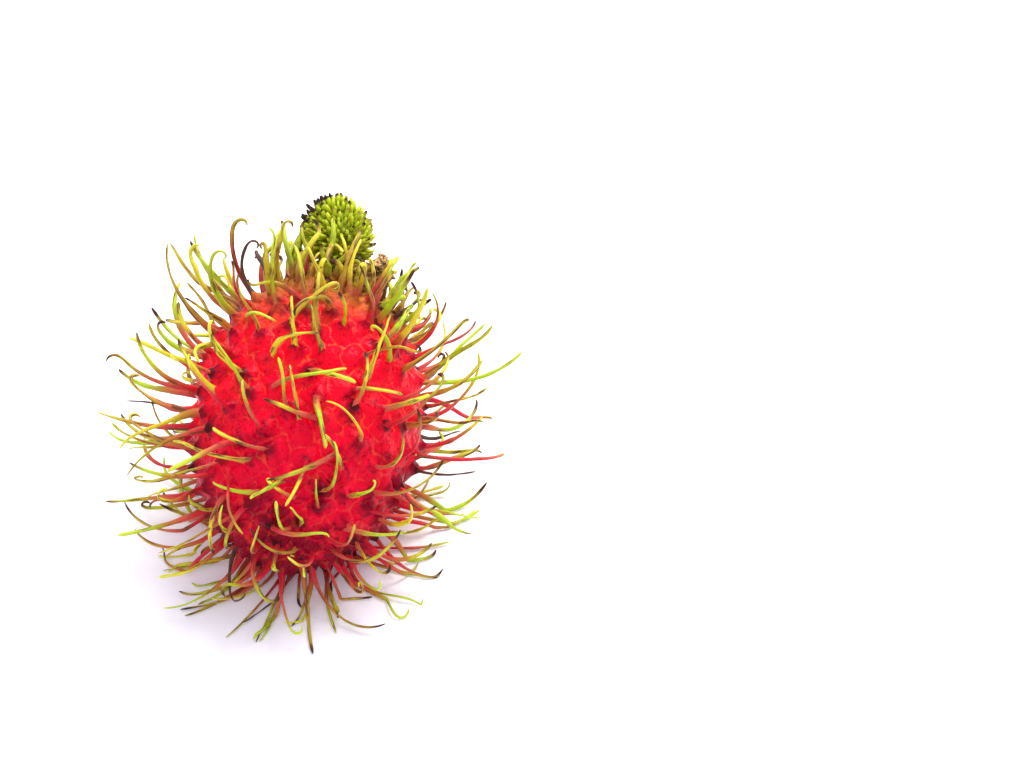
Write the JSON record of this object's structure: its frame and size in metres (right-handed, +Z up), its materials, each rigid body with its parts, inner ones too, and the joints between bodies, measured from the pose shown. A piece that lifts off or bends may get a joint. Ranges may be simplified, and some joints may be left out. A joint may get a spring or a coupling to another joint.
{
  "type": "rambutan fruit",
  "caption": "Whole rambutan as picked: red rind with soft curling green-tipped spinterns, a woody stalk stub and an undeveloped fruitlet.",
  "frame": {"origin": "middle of the small flat spot that the fruit rests on", "axes": "+Z up from the resting surface; the stalk end points to +Y, a little to +X, and 32 degrees up"},
  "size_m": [0.0649, 0.0677, 0.0467],
  "materials": {
    "rind": "satin",
    "stub": "rough",
    "fruitlet": "matte"
  },
  "bodies": {
    "root": {"fruit": "rind", "stalk_stub": "stub", "undeveloped_fruitlet": "fruitlet"}
  },
  "joints": []
}
